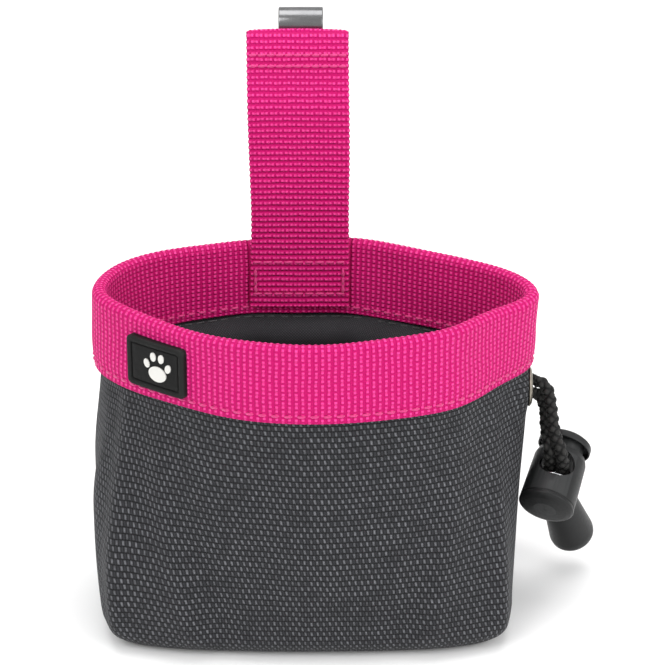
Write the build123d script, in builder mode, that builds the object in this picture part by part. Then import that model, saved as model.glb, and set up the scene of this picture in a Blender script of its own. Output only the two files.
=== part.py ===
from build123d import *
import math
import os

os.makedirs("parts", exist_ok=True)

# Plan centre of the pouch mouth in the part's frame, so that the whole part is centred on the origin.
MOUTH_X = 0.57
MOUTH_Y = -5.23

# Body and rim
RIM_TOP = 80.0
RIM_BOTTOM = 60.5
FABRIC = 0.9
WEBBING = 1.3
THREAD = 0.25
BAND_HALF = FABRIC / 2 + WEBBING
FOLD_Z = RIM_TOP - BAND_HALF
WALL_TOP = FOLD_Z - 0.4
WALL_BLEND = 58.0
CURL_HIGH = 6.0
CURL_DEEP = 5.2
BULGE = 1.8
HALF_LONG = 52.0
FLOOR = 1.2

# Belt strap, in the plane across the back rim
STRAP_WIDTH = 25.0
STRAP_X = -4.4
STRAP_THICK = 1.4
STRAP_ROOT = 3.9
TAIL_ROOT = 3.6
TAIL_FACE = BAND_HALF + 0.2
TAIL_LENGTH = 15.0
STRAP_TOP = 52.9

# Belt clip
CLIP_WIDTH = 11.0
CLIP_X = -3.9
CLIP_THICK = 0.9
CLIP_BEND = 3.6
RIVET_HEIGHTS = (37.5, 48.5)
RIVET_R = 1.2

# Drawcord, eyelet and cord lock
CORD_R = 1.5
CORD_SIDE = 1.66
EYELET_Z = 54.6
EYELET_X = 51.5
EYELET_R = 5.0
EYELET_BORE = 3.3
LOCK_CENTRE = (59.0, -1.5, 31.6)
LOCK_AXIS = (0.306, 0.77, 0.56)
HOLE_AXIS = (0.035, 0.589, -0.807)
BELL_AXIS = (0.3, 0.386, -0.872)
LOCK_HOLE_UP = 10.6
BARREL_R = 6.9
PLUNGER_R = 4.9
BORE_R = PLUNGER_R + 0.3
HOLE_LONG = 8.8
HOLE_SHORT = 7.2
STRAIGHT_IN = 8.6
STRAIGHT_OUT = 7.6
BELL_START = 1.2
BELL_LENGTH = 19.0

# Drawcord tunnel inside the wall, under the band
CASING_LOW = 49.0
CASING_HIGH = RIM_BOTTOM - 0.3
TUNNEL_LOW = 50.4
TUNNEL_HIGH = 58.8
TUNNEL_DEEP = 5.0
TUNNEL_FACE = -FABRIC / 2 - 0.5
CASING_SKIN = 0.6

RIM_SAMPLES = 48

PLAN = Plane((MOUTH_X, MOUTH_Y, 0))

# Middle line of the rim, anticlockwise from the right-hand end, and the body's outline near its floor.
RIM_LINE = [
    (51.0, 0.5), (48.3, 8.4), (41.5, 15.9), (29.5, 23.8), (18.5, 29.3), (8.3, 33.15), (-4.4, 33.2),
    (-17.2, 33.15), (-26.5, 30.3), (-36.5, 26.2), (-46.2, 18.6), (-51.3, 8.0), (-51.2, -2.5),
    (-45.8, -11.0), (-35.0, -20.4), (-20.0, -29.6), (-2.0, -33.3), (16.0, -30.6), (31.0, -25.2),
    (42.5, -12.5),
]
FLOOR_LINE = [
    (47.6, -9.0), (48.1, 4.0), (44.5, 13.5), (31.5, 16.6), (20.0, 17.0), (9.0, 17.0), (-2.0, 17.0),
    (-13.0, 17.0), (-24.0, 17.0), (-36.0, 16.4), (-47.5, 13.0), (-52.2, 2.0), (-52.4, -12.0),
    (-49.3, -31.5), (-34.0, -37.2), (-18.0, -38.4), (-2.0, -38.7), (14.0, -38.4), (30.0, -37.2),
    (45.0, -31.5),
]


def unit(v):
    return Vector(*v).normalized()


def from_mouth(x, y, z):
    """A point given from the mouth's plan centre, in the part's frame."""
    return Vector(MOUTH_X + x, MOUTH_Y + y, z)


with BuildLine() as rim_path:
    Spline(*RIM_LINE, periodic=True)
with BuildLine() as floor_path:
    Spline(*FLOOR_LINE, periodic=True)


def samples(path):
    """Even samples of a closed line, each with its outward normal."""
    found = []
    for step in range(RIM_SAMPLES):
        place = path.line @ (step / RIM_SAMPLES)
        along = path.line % (step / RIM_SAMPLES)
        found.append((place.X, place.Y, along.Y, -along.X))
    return found


rim_samples = samples(rim_path)
floor_samples = samples(floor_path)


def rim_points(outward):
    """Points along the rim's middle line, moved outward by a distance."""
    return [(x + nx * outward, y + ny * outward) for x, y, nx, ny in rim_samples]


def body_line(z, inward):
    """The body's outline at height z: the floor outline easing into the rim's, with full sides."""
    rise = min(max((z - CURL_HIGH) / (WALL_BLEND - CURL_HIGH), 0.0), 1.0)
    ease = rise * rise * (3 - 2 * rise)
    curl = CURL_DEEP * max(0.0, 1.0 - z / CURL_HIGH) ** 2
    points = []
    for low, high in zip(floor_samples, rim_samples):
        x, y, nx, ny = (a + (b - a) * ease for a, b in zip(low, high))
        sideways = max(0.0, x / HALF_LONG)
        full = BULGE * math.sin(math.pi * rise) * (1 - sideways**2) + FABRIC / 2 * ease
        reach = (full - curl - inward) / math.hypot(nx, ny)
        points.append((x + nx * reach, y + ny * reach))
    return points


def rim_ring(outer, inner, bottom, top):
    """A closed strip that follows the rim, between two offsets from its middle line."""
    with BuildPart() as strip:
        with BuildSketch(PLAN.offset(bottom)):
            with BuildLine():
                Spline(*rim_points(outer), periodic=True)
            make_face()
            with BuildLine():
                Spline(*rim_points(inner), periodic=True)
            make_face(mode=Mode.SUBTRACT)
        extrude(amount=top - bottom)
    return strip.part


def save(part, name):
    part.label = name
    export_step(part, f"parts/{name}.step")


# ---------------------------------------------------------------- body
def body_solid(heights, inward):
    """The body's full shape between the first and the last height, inset by a wall thickness."""
    with BuildPart() as solid:
        for z in heights:
            with BuildSketch(PLAN.offset(z)):
                with BuildLine():
                    Spline(*body_line(z, inward), periodic=True)
                make_face()
        loft(ruled=True)
    return solid.part


CURL_LEVELS = (0.0, 0.6, 1.6, 3.0)
WALL_LEVELS = (4.5, 7.0, 13.0, 20.0, 28.0, 36.0, 44.0, 51.0, WALL_BLEND)
outer_body = body_solid(CURL_LEVELS + WALL_LEVELS + (WALL_TOP,), 0.0)
inner_body = body_solid((FLOOR, 2.0, 3.2) + WALL_LEVELS + (WALL_TOP + 1,), FABRIC)

with BuildPart() as outer_shell:
    add(outer_body)
    add(inner_body, mode=Mode.SUBTRACT)
    with BuildSketch(Plane(from_mouth(EYELET_X + 3, 0, EYELET_Z), z_dir=(-1, 0, 0))):
        Circle(EYELET_BORE + 0.5)
    extrude(amount=10, mode=Mode.SUBTRACT)
save(outer_shell.part, "outer_shell")

# ---------------------------------------------------------------- rim band: webbing folded over the edge
band_block = rim_ring(BAND_HALF, -BAND_HALF, RIM_BOTTOM, RIM_TOP)
band_slot = rim_ring(FABRIC / 2, -FABRIC / 2, RIM_BOTTOM, FOLD_Z - 0.2)

with BuildPart() as rim_band:
    add(band_block)
    fillet(rim_band.faces().sort_by(Axis.Z)[-1].edges(), BAND_HALF - 0.25)
    add(band_slot, mode=Mode.SUBTRACT)
save(rim_band.part, "rim_band")

for name, face in (("band_stitching", BAND_HALF), ("band_stitching_inner", -BAND_HALF - THREAD)):
    save(rim_ring(face + THREAD, face, RIM_BOTTOM + 1.7, RIM_BOTTOM + 2.2), name)

# ---------------------------------------------------------------- drawcord and its casing
tunnel_back = TUNNEL_FACE - TUNNEL_DEEP
casing_block = rim_ring(TUNNEL_FACE, tunnel_back - CASING_SKIN, CASING_LOW, CASING_HIGH)
tunnel = rim_ring(TUNNEL_FACE + 1, tunnel_back, TUNNEL_LOW, TUNNEL_HIGH)
with BuildPart() as drawcord_casing:
    add(casing_block)
    add(tunnel, mode=Mode.SUBTRACT)
    with BuildSketch(Plane(from_mouth(46.2, 0, EYELET_Z), z_dir=(1, 0, 0))):
        Circle(EYELET_R + 0.4)
    extrude(amount=8, mode=Mode.SUBTRACT)
save(drawcord_casing.part, "drawcord_casing")


def cord(route, radii, name):
    """A cord of round section along straight runs joined by tangent arcs."""
    with BuildPart() as strand:
        with BuildLine():
            path = FilletPolyline(*route, radius=radii)
        with BuildSketch(Plane(path @ 0, z_dir=path % 0)):
            Circle(CORD_R)
        sweep()
    expected = math.pi * CORD_R**2 * path.length
    shown = ", ".join(f"{r:.1f}" for r in radii)
    print(f"{name}: {path.length:.1f} mm, volume ratio {strand.part.volume / expected:.3f}, radii {shown}")
    save(strand.part, name)


def arc_radii(route):
    """Each corner's largest arc: 0.45 of its shorter run over the tangent of half its turn."""
    radii = []
    for a, b, c in zip(route, route[1:], route[2:]):
        before = Vector(b) - Vector(a)
        after = Vector(c) - Vector(b)
        half_turn = math.radians(before.get_angle(after)) / 2
        radii.append(0.45 * min(before.length, after.length) / math.tan(half_turn))
    return radii


LOOP_INSET = 3.15
LOOP_POINTS = 26
LOOP_START = 0.035
LOOP_END = 0.955
LOOP_TURN_X = 47.15
LOOP_END_X = 51.0
LOOP_TURN_R = 2.0
loop_route = [from_mouth(x, 0.0, EYELET_Z + CORD_SIDE) for x in (LOOP_END_X, LOOP_TURN_X)]
for step in range(LOOP_POINTS):
    share = LOOP_START + (LOOP_END - LOOP_START) * step / (LOOP_POINTS - 1)
    place = rim_path.line @ share
    along = rim_path.line % share
    height = EYELET_Z + CORD_SIDE - 2 * CORD_SIDE * step / (LOOP_POINTS - 1)
    loop_route.append(from_mouth(place.X - along.Y * LOOP_INSET, place.Y + along.X * LOOP_INSET, height))
loop_route += [from_mouth(x, 0.0, EYELET_Z - CORD_SIDE) for x in (LOOP_TURN_X, LOOP_END_X)]
loop_radii = arc_radii(loop_route)
loop_radii[0] = LOOP_TURN_R
loop_radii[-1] = LOOP_TURN_R
cord(loop_route, loop_radii, "drawcord_loop")

# ---------------------------------------------------------------- eyelet
eyelet_plane = Plane(from_mouth(0, 0, EYELET_Z), x_dir=(0, 1, 0), z_dir=(1, 0, 0))
with BuildPart() as eyelet:
    with BuildSketch(eyelet_plane.offset(EYELET_X)):
        Circle(EYELET_R)
        Circle(EYELET_BORE, mode=Mode.SUBTRACT)
    extrude(amount=0.9)
    fillet(eyelet.faces().sort_by(Axis.X)[-1].edges(), 0.4)
    with BuildSketch(eyelet_plane.offset(EYELET_X - 2.2)):
        Circle(EYELET_BORE + 0.35)
        Circle(EYELET_BORE, mode=Mode.SUBTRACT)
    extrude(amount=2.2)
save(eyelet.part, "eyelet")

with BuildPart() as eyelet_washer:
    with BuildSketch(eyelet_plane.offset(EYELET_X - 2.9)):
        Circle(EYELET_R - 0.6)
        Circle(EYELET_BORE + 0.4, mode=Mode.SUBTRACT)
    extrude(amount=0.6)
save(eyelet_washer.part, "eyelet_washer")

# ---------------------------------------------------------------- inner seams
SEAM_DEEP = 5.0
SEAM_THICK = 1.6
for side, name in ((-1, "side_seam_left"), (1, "side_seam_right")):
    top_x = side * 47.2
    low_x = side * 46.4
    with BuildPart() as seam:
        with BuildSketch(Plane.XZ.offset(-(MOUTH_Y - 3.0))):
            with BuildLine():
                Polyline(
                    (MOUTH_X + top_x, 48.4),
                    (MOUTH_X + low_x, 9.0),
                    (MOUTH_X + low_x - side * SEAM_DEEP, 9.0),
                    (MOUTH_X + top_x - side * SEAM_DEEP, 48.4),
                    close=True,
                )
            make_face()
        extrude(amount=SEAM_THICK / 2, both=True)
    save(seam.part, name)

for side, name in ((-1, "corner_seam_left"), (1, "corner_seam_right")):
    with BuildPart() as seam:
        with BuildSketch(Plane.XY.offset(1.6)):
            with Locations((MOUTH_X - 2.0 + side * 42.0, MOUTH_Y - 11.0)):
                RectangleRounded(4.6, 38.0, 2.0)
        extrude(amount=SEAM_THICK)
    save(seam.part, name)

# ---------------------------------------------------------------- label patch with a paw emblem
LABEL_TURN = 38.0
LABEL_THICK = 1.3
label_plane = Plane(
    from_mouth(-35.4, -21.3, 69.4),
    x_dir=(math.cos(math.radians(LABEL_TURN)), -math.sin(math.radians(LABEL_TURN)), 0),
    z_dir=(-math.sin(math.radians(LABEL_TURN)), -math.cos(math.radians(LABEL_TURN)), 0),
)
label_layer = rim_ring(BAND_HALF + LABEL_THICK, BAND_HALF + 0.03, RIM_BOTTOM, RIM_TOP)
emblem_layer = rim_ring(BAND_HALF + LABEL_THICK + 0.3, BAND_HALF + LABEL_THICK + 0.02, RIM_BOTTOM, RIM_TOP)
with BuildPart() as label_patch:
    add(label_layer)
    with BuildSketch(label_plane.offset(-6)) as label_outline:
        RectangleRounded(17.0, 12.4, 0.8)
    extrude(to_extrude=label_outline.sketch, amount=14, mode=Mode.INTERSECT)
save(label_patch.part, "label_patch")

with BuildPart() as label_emblem:
    add(emblem_layer)
    with BuildSketch(label_plane.offset(-6)) as paw:
        with Locations((0, -1.5)):
            Ellipse(2.6, 1.9)
        for toe_x, toe_y, lean in ((-3.2, 0.6, 20), (-1.2, 2.6, 6), (1.2, 2.6, -6), (3.2, 0.6, -20)):
            with Locations(Location((toe_x, toe_y, 0), (0, 0, lean))):
                Ellipse(0.8, 1.1)
    extrude(to_extrude=paw.sketch, amount=14, mode=Mode.INTERSECT)
save(label_emblem.part, "label_emblem")

# ---------------------------------------------------------------- belt strap and its sewn tails
STRAP_Y = MOUTH_Y + 33.2


def strap_plane(x):
    """Plane across the back rim: its x runs rearward and its y runs up from the strap's bending line."""
    return Plane((MOUTH_X + x, STRAP_Y, FOLD_Z), x_dir=(0, 1, 0), z_dir=(1, 0, 0))


TAIL_MID = TAIL_FACE + STRAP_THICK / 2
front_run = [(-TAIL_MID, 1.0), (-TAIL_MID, 10.0), (-2.2, 38.0), (4.4, STRAP_TOP)]
rear_run = [(7.4, STRAP_TOP), (4.6, 31.0), (TAIL_MID, 8.0), (TAIL_MID, 1.0)]
CLIP_SLOPE = math.atan2(rear_run[0][0] - rear_run[1][0], rear_run[0][1] - rear_run[1][1])
fold_top = ((front_run[-1][0] + rear_run[0][0]) / 2, STRAP_TOP + 1.5)


def rear_layer_plane(height, x):
    """Plane on the strap's rear layer at a height above its bending line, facing rearward."""
    low, high = rear_run[1], rear_run[0]
    y = low[0] + (high[0] - low[0]) * (height - low[1]) / (high[1] - low[1])
    return Plane(
        (MOUTH_X + x, STRAP_Y + y, FOLD_Z + height),
        x_dir=(1, 0, 0),
        z_dir=(0, math.cos(CLIP_SLOPE), -math.sin(CLIP_SLOPE)),
    )


with BuildPart() as belt_strap:
    with BuildSketch(strap_plane(STRAP_X)):
        with BuildLine():
            front = FilletPolyline(*front_run, radius=7.0)
            rear = FilletPolyline(*rear_run, radius=7.0)
            ThreePointArc(front @ 1, fold_top, rear @ 0)
        trace(line_width=STRAP_THICK)
        Circle(STRAP_ROOT, mode=Mode.SUBTRACT)
    extrude(amount=STRAP_WIDTH / 2, both=True)
    for height in RIVET_HEIGHTS:
        with BuildSketch(rear_layer_plane(height, CLIP_X).offset(-2)):
            Circle(RIVET_R + 0.05)
        extrude(amount=4, mode=Mode.SUBTRACT)
save(belt_strap.part, "belt_strap")

band_room = rim_ring(BAND_HALF + 0.05, -BAND_HALF - 0.05, RIM_BOTTOM - 1, RIM_TOP + 0.05)
for side, name in ((-1, "strap_tail_inner"), (1, "strap_tail_outer")):
    with BuildPart() as tail:
        with BuildSketch(strap_plane(STRAP_X)):
            with Locations((side * TAIL_MID, (4 - TAIL_LENGTH) / 2)):
                Rectangle(STRAP_THICK, TAIL_LENGTH + 4)
            with BuildSketch(mode=Mode.PRIVATE) as root:
                Circle(TAIL_ROOT)
                with Locations((0, -TAIL_LENGTH)):
                    Rectangle(8, 2 * TAIL_LENGTH)
            add(root.sketch, mode=Mode.INTERSECT)
        extrude(amount=STRAP_WIDTH / 2, both=True)
        add(band_room, mode=Mode.SUBTRACT)
    save(tail.part, name)

for side, name in ((-1, "tail_stitching_inner"), (1, "tail_stitching_outer")):
    stitch_plane = Plane(
        (MOUTH_X + STRAP_X, STRAP_Y + side * (TAIL_FACE + STRAP_THICK), FOLD_Z),
        x_dir=(1, 0, 0),
        z_dir=(0, side, 0),
    )
    with BuildPart() as rows:
        for row in (-3.0, -11.0):
            with BuildSketch(stitch_plane):
                with Locations((0, row * stitch_plane.y_dir.Z)):
                    Rectangle(STRAP_WIDTH - 3, 0.5)
            extrude(amount=THREAD)
    save(rows.part, name)

# ---------------------------------------------------------------- belt clip, riveted to the strap
leg_offset = STRAP_THICK / 2 + CLIP_THICK / 2 + 0.02


def leg_point(height):
    low, high = rear_run[1], rear_run[0]
    y = low[0] + (high[0] - low[0]) * (height - low[1]) / (high[1] - low[1])
    return (y + leg_offset * math.cos(CLIP_SLOPE), height - leg_offset * math.sin(CLIP_SLOPE))


LEG_LOW = 33.0
LEG_HIGH = 55.0
leg_bottom = leg_point(LEG_LOW)
leg_top = leg_point(LEG_HIGH)
bend_centre = (
    leg_top[0] + CLIP_BEND * math.cos(CLIP_SLOPE),
    leg_top[1] - CLIP_BEND * math.sin(CLIP_SLOPE),
)
arm_top = (
    bend_centre[0] + CLIP_BEND * math.cos(CLIP_SLOPE),
    bend_centre[1] - CLIP_BEND * math.sin(CLIP_SLOPE),
)
ARM_PINCH = (6.4, 19.0)
ARM_TIP = (9.6, 12.0)
SPLIT_GAP = 0.5


def bend_point(angle):
    """A point on the clip's bend, at an angle from straight rearward, turned with the clip's slope."""
    turn = math.radians(angle) - CLIP_SLOPE
    return (bend_centre[0] + CLIP_BEND * math.cos(turn), bend_centre[1] + CLIP_BEND * math.sin(turn))


split_angle = math.degrees(SPLIT_GAP / 2 / CLIP_BEND)
with BuildPart() as belt_clip_leg:
    with BuildSketch(strap_plane(CLIP_X)):
        with BuildLine():
            Line(leg_bottom, leg_top)
            ThreePointArc(leg_top, bend_point(135), bend_point(90 + split_angle))
        trace(line_width=CLIP_THICK)
    extrude(amount=CLIP_WIDTH / 2, both=True)
    for height in RIVET_HEIGHTS:
        with BuildSketch(rear_layer_plane(height, CLIP_X).offset(-2)):
            Circle(RIVET_R + 0.05)
        extrude(amount=5, mode=Mode.SUBTRACT)
save(belt_clip_leg.part, "belt_clip_leg")

with BuildPart() as belt_clip_arm:
    with BuildSketch(strap_plane(CLIP_X)):
        with BuildLine():
            ThreePointArc(bend_point(90 - split_angle), bend_point(45), arm_top)
            FilletPolyline(arm_top, ARM_PINCH, ARM_TIP, radius=4.0)
        trace(line_width=CLIP_THICK)
    extrude(amount=CLIP_WIDTH / 2, both=True)
save(belt_clip_arm.part, "belt_clip_arm")

RIVET_HEAD_R = 2.2
WASHER_R = 2.8
with BuildPart() as clip_rivets:
    for height in RIVET_HEIGHTS:
        base = rear_layer_plane(height, CLIP_X)
        with BuildSketch(base.offset(-STRAP_THICK / 2 - 1.0)):
            Circle(RIVET_R)
        extrude(amount=STRAP_THICK + CLIP_THICK + 1.04)
        with BuildSketch(base.offset(STRAP_THICK / 2 + CLIP_THICK + 0.04)):
            Circle(RIVET_HEAD_R)
        extrude(amount=0.7, taper=25)
        with BuildSketch(base.offset(-STRAP_THICK / 2 - 1.0)):
            Circle(RIVET_R + 0.6)
        extrude(amount=0.4)
save(clip_rivets.part, "clip_rivets")

with BuildPart() as rivet_washers:
    for height in RIVET_HEIGHTS:
        with BuildSketch(rear_layer_plane(height, CLIP_X).offset(-STRAP_THICK / 2 - 0.52)):
            Circle(WASHER_R)
            Circle(RIVET_R + 0.05, mode=Mode.SUBTRACT)
        extrude(amount=0.5)
save(rivet_washers.part, "rivet_washers")

# ---------------------------------------------------------------- cord lock
lock_centre = from_mouth(*LOCK_CENTRE)
lock_axis = unit(LOCK_AXIS)
hole_axis = (Vector(*HOLE_AXIS) - lock_axis * Vector(*HOLE_AXIS).dot(lock_axis)).normalized()
across = lock_axis.cross(hole_axis)
bell_axis = unit(BELL_AXIS)
BARREL_TOP = 15.8
CHAMFER_LOW = 14.3
CAP_THICK = 1.4
TRAVEL = 1.8
CORD_ROOM = 0.3


def lock_plane(height):
    """Plane across the lock's axis at a height above its closed end, with x along the cord hole's width."""
    return Plane(lock_centre + lock_axis * (height - LOCK_HOLE_UP), x_dir=across, z_dir=lock_axis)


hole_plane = Plane(lock_centre, x_dir=across, z_dir=hole_axis)


def turned(profile, origin, axis):
    """A solid of revolution about an axis, from (radius, height) points."""
    side = (across - axis * across.dot(axis)).normalized()
    with BuildPart() as body:
        with BuildSketch(Plane(origin, x_dir=side, z_dir=side.cross(axis))):
            with BuildLine():
                Polyline(*profile, close=True)
            make_face()
        revolve(axis=Axis(origin, axis))
    return body.part


lock_foot = lock_plane(0).origin
barrel_body = turned(
    [
        (0, 0), (3.0, 0.1), (5.2, 0.4), (BARREL_R - 0.1, 1.1), (BARREL_R - 0.4, CHAMFER_LOW),
        (6.0, BARREL_TOP), (BORE_R, BARREL_TOP), (BORE_R, CAP_THICK), (0, CAP_THICK),
    ],
    lock_foot,
    lock_axis,
)
with BuildPart() as cord_lock_barrel:
    add(barrel_body)
    with BuildSketch(hole_plane):
        SlotOverall(HOLE_LONG, HOLE_SHORT)
    extrude(amount=10, both=True, mode=Mode.SUBTRACT)
save(cord_lock_barrel.part, "cord_lock_barrel")

STEM_LOW = 9.0
FORK_WIDTH = 7.2
FLANGE_LOW = BARREL_TOP + TRAVEL + CORD_ROOM
FLANGE_TOP = 20.0
SKIRT_TOP = 19.2
FLANGE_R = 6.6
plunger_body = turned(
    [
        (0, STEM_LOW), (PLUNGER_R, STEM_LOW), (PLUNGER_R, SKIRT_TOP), (FLANGE_R - 0.45, SKIRT_TOP),
        (FLANGE_R - 0.45, FLANGE_LOW), (FLANGE_R, FLANGE_LOW), (FLANGE_R, FLANGE_TOP - 0.5),
        (FLANGE_R - 0.6, FLANGE_TOP), (0, FLANGE_TOP),
    ],
    lock_foot,
    lock_axis,
)
with BuildPart() as cord_lock_plunger:
    add(plunger_body)
    with BuildSketch(hole_plane):
        with Locations((0, TRAVEL / 2)):
            Rectangle(FORK_WIDTH, 2 * (CORD_R + CORD_ROOM) + TRAVEL)
    extrude(amount=10, both=True, mode=Mode.SUBTRACT)
save(cord_lock_plunger.part, "cord_lock_plunger")

SPRING_R = 4.5
WIRE_R = 0.33
SPRING_PITCH = 1.5
SPRING_HIGH = 6.75
spring_foot = lock_plane(CAP_THICK + WIRE_R + 0.05).origin
with BuildPart() as cord_lock_spring:
    with BuildLine():
        coil = Helix(SPRING_PITCH, SPRING_HIGH, SPRING_R, center=spring_foot, direction=lock_axis)
    with BuildSketch(Plane(coil @ 0, z_dir=coil % 0)):
        Circle(WIRE_R)
    sweep(is_frenet=True)
save(cord_lock_spring.part, "cord_lock_spring")

# ---------------------------------------------------------------- free cord, its bell and knot
# Middle of the two strands: out of the eyelet, down, through the lock and into the bell.
bell_top = lock_centre + hole_axis * STRAIGHT_OUT + bell_axis * BELL_START
PAIR_ROUTE = [(52.7, 0.0, 54.6), (55.0, -0.2, 54.3), (56.6, -1.0, 49.4), (56.9, -3.2, 44.0)]
PAIR_SPREAD = [(0, 0, CORD_SIDE), (1.1, -0.55, 1.45), (0.62, -1.75, 0.3), (0.95, -1.5, 0)]
for side, name in ((1, "cord_strand_outer"), (-1, "cord_strand_inner")):
    route = [from_mouth(*p) + Vector(*w) * side for p, w in zip(PAIR_ROUTE, PAIR_SPREAD)]
    strand_side = -across if across.X < 0 else across
    route.append(lock_centre - hole_axis * STRAIGHT_IN + strand_side * (side * CORD_SIDE))
    route.append(lock_centre + hole_axis * STRAIGHT_OUT + strand_side * (side * CORD_SIDE))
    route.append(bell_top + bell_axis * 5 + strand_side * (side * CORD_SIDE))
    cord(route, arc_radii(route), name)

BELL_R = 5.65
BELL_NECK_R = 3.9
bell_body = turned(
    [
        (3.25, 0), (BELL_NECK_R - 0.3, 0), (BELL_NECK_R, 0.4), (BELL_R - 0.15, BELL_LENGTH - 4.5),
        (BELL_R, BELL_LENGTH - 2.5), (BELL_R - 0.7, BELL_LENGTH - 0.7), (BELL_R - 2.2, BELL_LENGTH),
        (BELL_R - 2.2, BELL_LENGTH - 9.0), (3.25, BELL_LENGTH - 10.5),
    ],
    bell_top,
    bell_axis,
)
with BuildPart() as cord_end_bell:
    add(bell_body)
save(cord_end_bell.part, "cord_end_bell")

with BuildPart() as cord_knot:
    with BuildSketch(Plane(bell_top + bell_axis * 10.0, z_dir=bell_axis)):
        Circle(3.1)
    extrude(amount=5.5)
    fillet(cord_knot.edges(), 1.4)
save(cord_knot.part, "cord_knot")
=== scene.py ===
import math

import bmesh
import bpy
import numpy as np
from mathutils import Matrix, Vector


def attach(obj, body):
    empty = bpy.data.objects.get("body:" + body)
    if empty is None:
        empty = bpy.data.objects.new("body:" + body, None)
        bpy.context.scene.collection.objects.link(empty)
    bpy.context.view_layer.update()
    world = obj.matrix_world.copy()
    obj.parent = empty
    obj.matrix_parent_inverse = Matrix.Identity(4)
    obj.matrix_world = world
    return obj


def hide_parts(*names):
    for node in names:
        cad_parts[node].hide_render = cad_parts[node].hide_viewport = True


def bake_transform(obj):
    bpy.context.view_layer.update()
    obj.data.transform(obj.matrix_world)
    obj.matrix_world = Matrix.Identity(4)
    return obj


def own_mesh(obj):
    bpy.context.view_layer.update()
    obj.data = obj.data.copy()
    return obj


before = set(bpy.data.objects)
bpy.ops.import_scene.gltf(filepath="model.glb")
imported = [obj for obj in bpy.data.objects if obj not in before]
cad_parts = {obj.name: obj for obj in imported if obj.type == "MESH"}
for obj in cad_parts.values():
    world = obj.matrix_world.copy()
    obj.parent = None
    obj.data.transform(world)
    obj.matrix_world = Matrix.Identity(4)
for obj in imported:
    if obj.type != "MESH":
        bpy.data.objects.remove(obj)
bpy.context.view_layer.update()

# ---- shared sizes, in millimetres
MOUTH = np.array([0.57, -5.23, 0.0])
RIM_TOP = 80.0
RIM_BOTTOM = 60.5
BAND_HALF = 1.75
FOLD_Z = 78.25
FABRIC = 0.9
WALL_TOP = 77.85
BAND_HIGH = RIM_TOP - RIM_BOTTOM
CURL_HIGH = 6.0
WALL_RUN = 52.0
CURL_DEEP = 5.2
BULGE = 1.8
HALF_LONG = 52.0
EYELET_X = 51.5
EYELET_Z = 54.6
WALL_SEAT_X = 51.42
LABEL_Z = 69.4
RIM_LINE = [
    (51.0, 0.5), (48.3, 8.4), (41.5, 15.9), (29.5, 23.8), (18.5, 29.3), (8.3, 33.15), (-4.4, 33.2),
    (-17.2, 33.15), (-26.5, 30.3), (-36.5, 26.2), (-46.2, 18.6), (-51.3, 8.0), (-51.2, -2.5),
    (-45.8, -11.0), (-35.0, -20.4), (-20.0, -29.6), (-2.0, -33.3), (16.0, -30.6), (31.0, -25.2),
    (42.5, -12.5),
]
FLOOR_LINE = [
    (47.6, -9.0), (48.1, 4.0), (44.5, 13.5), (31.5, 16.6), (20.0, 17.0), (9.0, 17.0), (-2.0, 17.0),
    (-13.0, 17.0), (-24.0, 17.0), (-36.0, 16.4), (-47.5, 13.0), (-52.2, 2.0), (-52.4, -12.0),
    (-49.3, -31.5), (-34.0, -37.2), (-18.0, -38.4), (-2.0, -38.7), (14.0, -38.4), (30.0, -37.2),
    (45.0, -31.5),
]
PER_SPAN = 26
UV_SCALE = 0.01


def unit(v):
    v = np.asarray(v, float)
    return v / np.linalg.norm(v)


def smooth(a, b, x):
    t = np.clip((np.asarray(x, float) - a) / (b - a), 0, 1)
    return t * t * (3 - 2 * t)


def bump(x, centre, width):
    return np.exp(-(((np.asarray(x, float) - centre) / width) ** 2))


def run_along(points):
    """The length along a line up to each of its points."""
    return np.concatenate([[0], np.cumsum(np.linalg.norm(np.diff(points, axis=0), axis=1))])


def directions(path):
    d = np.gradient(path, axis=0)
    return d / np.linalg.norm(d, axis=1)[:, None]


def turned_right(d):
    """Plane directions turned to the right, which is outward on a line that runs anticlockwise."""
    return np.stack([d[:, 1], -d[:, 0]], 1)


def sheet_uv(u, v):
    """A map from the values along the columns and along the rows, in millimetres."""
    return np.stack(np.meshgrid(u, v), -1) * UV_SCALE


def closed_spline(points, t):
    """Positions and tangents of a periodic cubic through the points, t counted in points."""
    p = np.asarray(points, float)
    n = len(p)
    d = np.linalg.norm(np.roll(p, -1, 0) - p, axis=1)
    a = np.zeros((n, n))
    rhs = np.zeros((n, p.shape[1]))
    for i in range(n):
        h0, h1 = d[i - 1], d[i]
        a[i, (i - 1) % n] += h1
        a[i, i] += 2 * (h0 + h1)
        a[i, (i + 1) % n] += h0
        rhs[i] = 3 * (h1 * (p[i] - p[i - 1]) / h0 + h0 * (p[(i + 1) % n] - p[i]) / h1)
    m = np.linalg.solve(a, rhs)
    t = np.mod(np.asarray(t, float), n)
    i = np.floor(t).astype(int) % n
    u = (t - np.floor(t))[:, None]
    j = (i + 1) % n
    h = d[i][:, None]
    pos = (
        (2 * u**3 - 3 * u**2 + 1) * p[i]
        + (u**3 - 2 * u**2 + u) * h * m[i]
        + (-2 * u**3 + 3 * u**2) * p[j]
        + (u**3 - u**2) * h * m[j]
    )
    tan = (
        (6 * u**2 - 6 * u) * p[i] / h
        + (3 * u**2 - 4 * u + 1) * m[i]
        + (-6 * u**2 + 6 * u) * p[j] / h
        + (3 * u**2 - 2 * u) * m[j]
    )
    return pos, tan / np.linalg.norm(tan, axis=1)[:, None]


RIM_T = np.linspace(0, len(RIM_LINE), 6001)[:-1]
RIM_P, _ = closed_spline(RIM_LINE, RIM_T)
RIM_STEP = np.linalg.norm(np.roll(RIM_P, -1, 0) - RIM_P, axis=1)
RIM_S = np.concatenate([[0], np.cumsum(RIM_STEP)])
RIM_LONG = RIM_S[-1]


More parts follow.
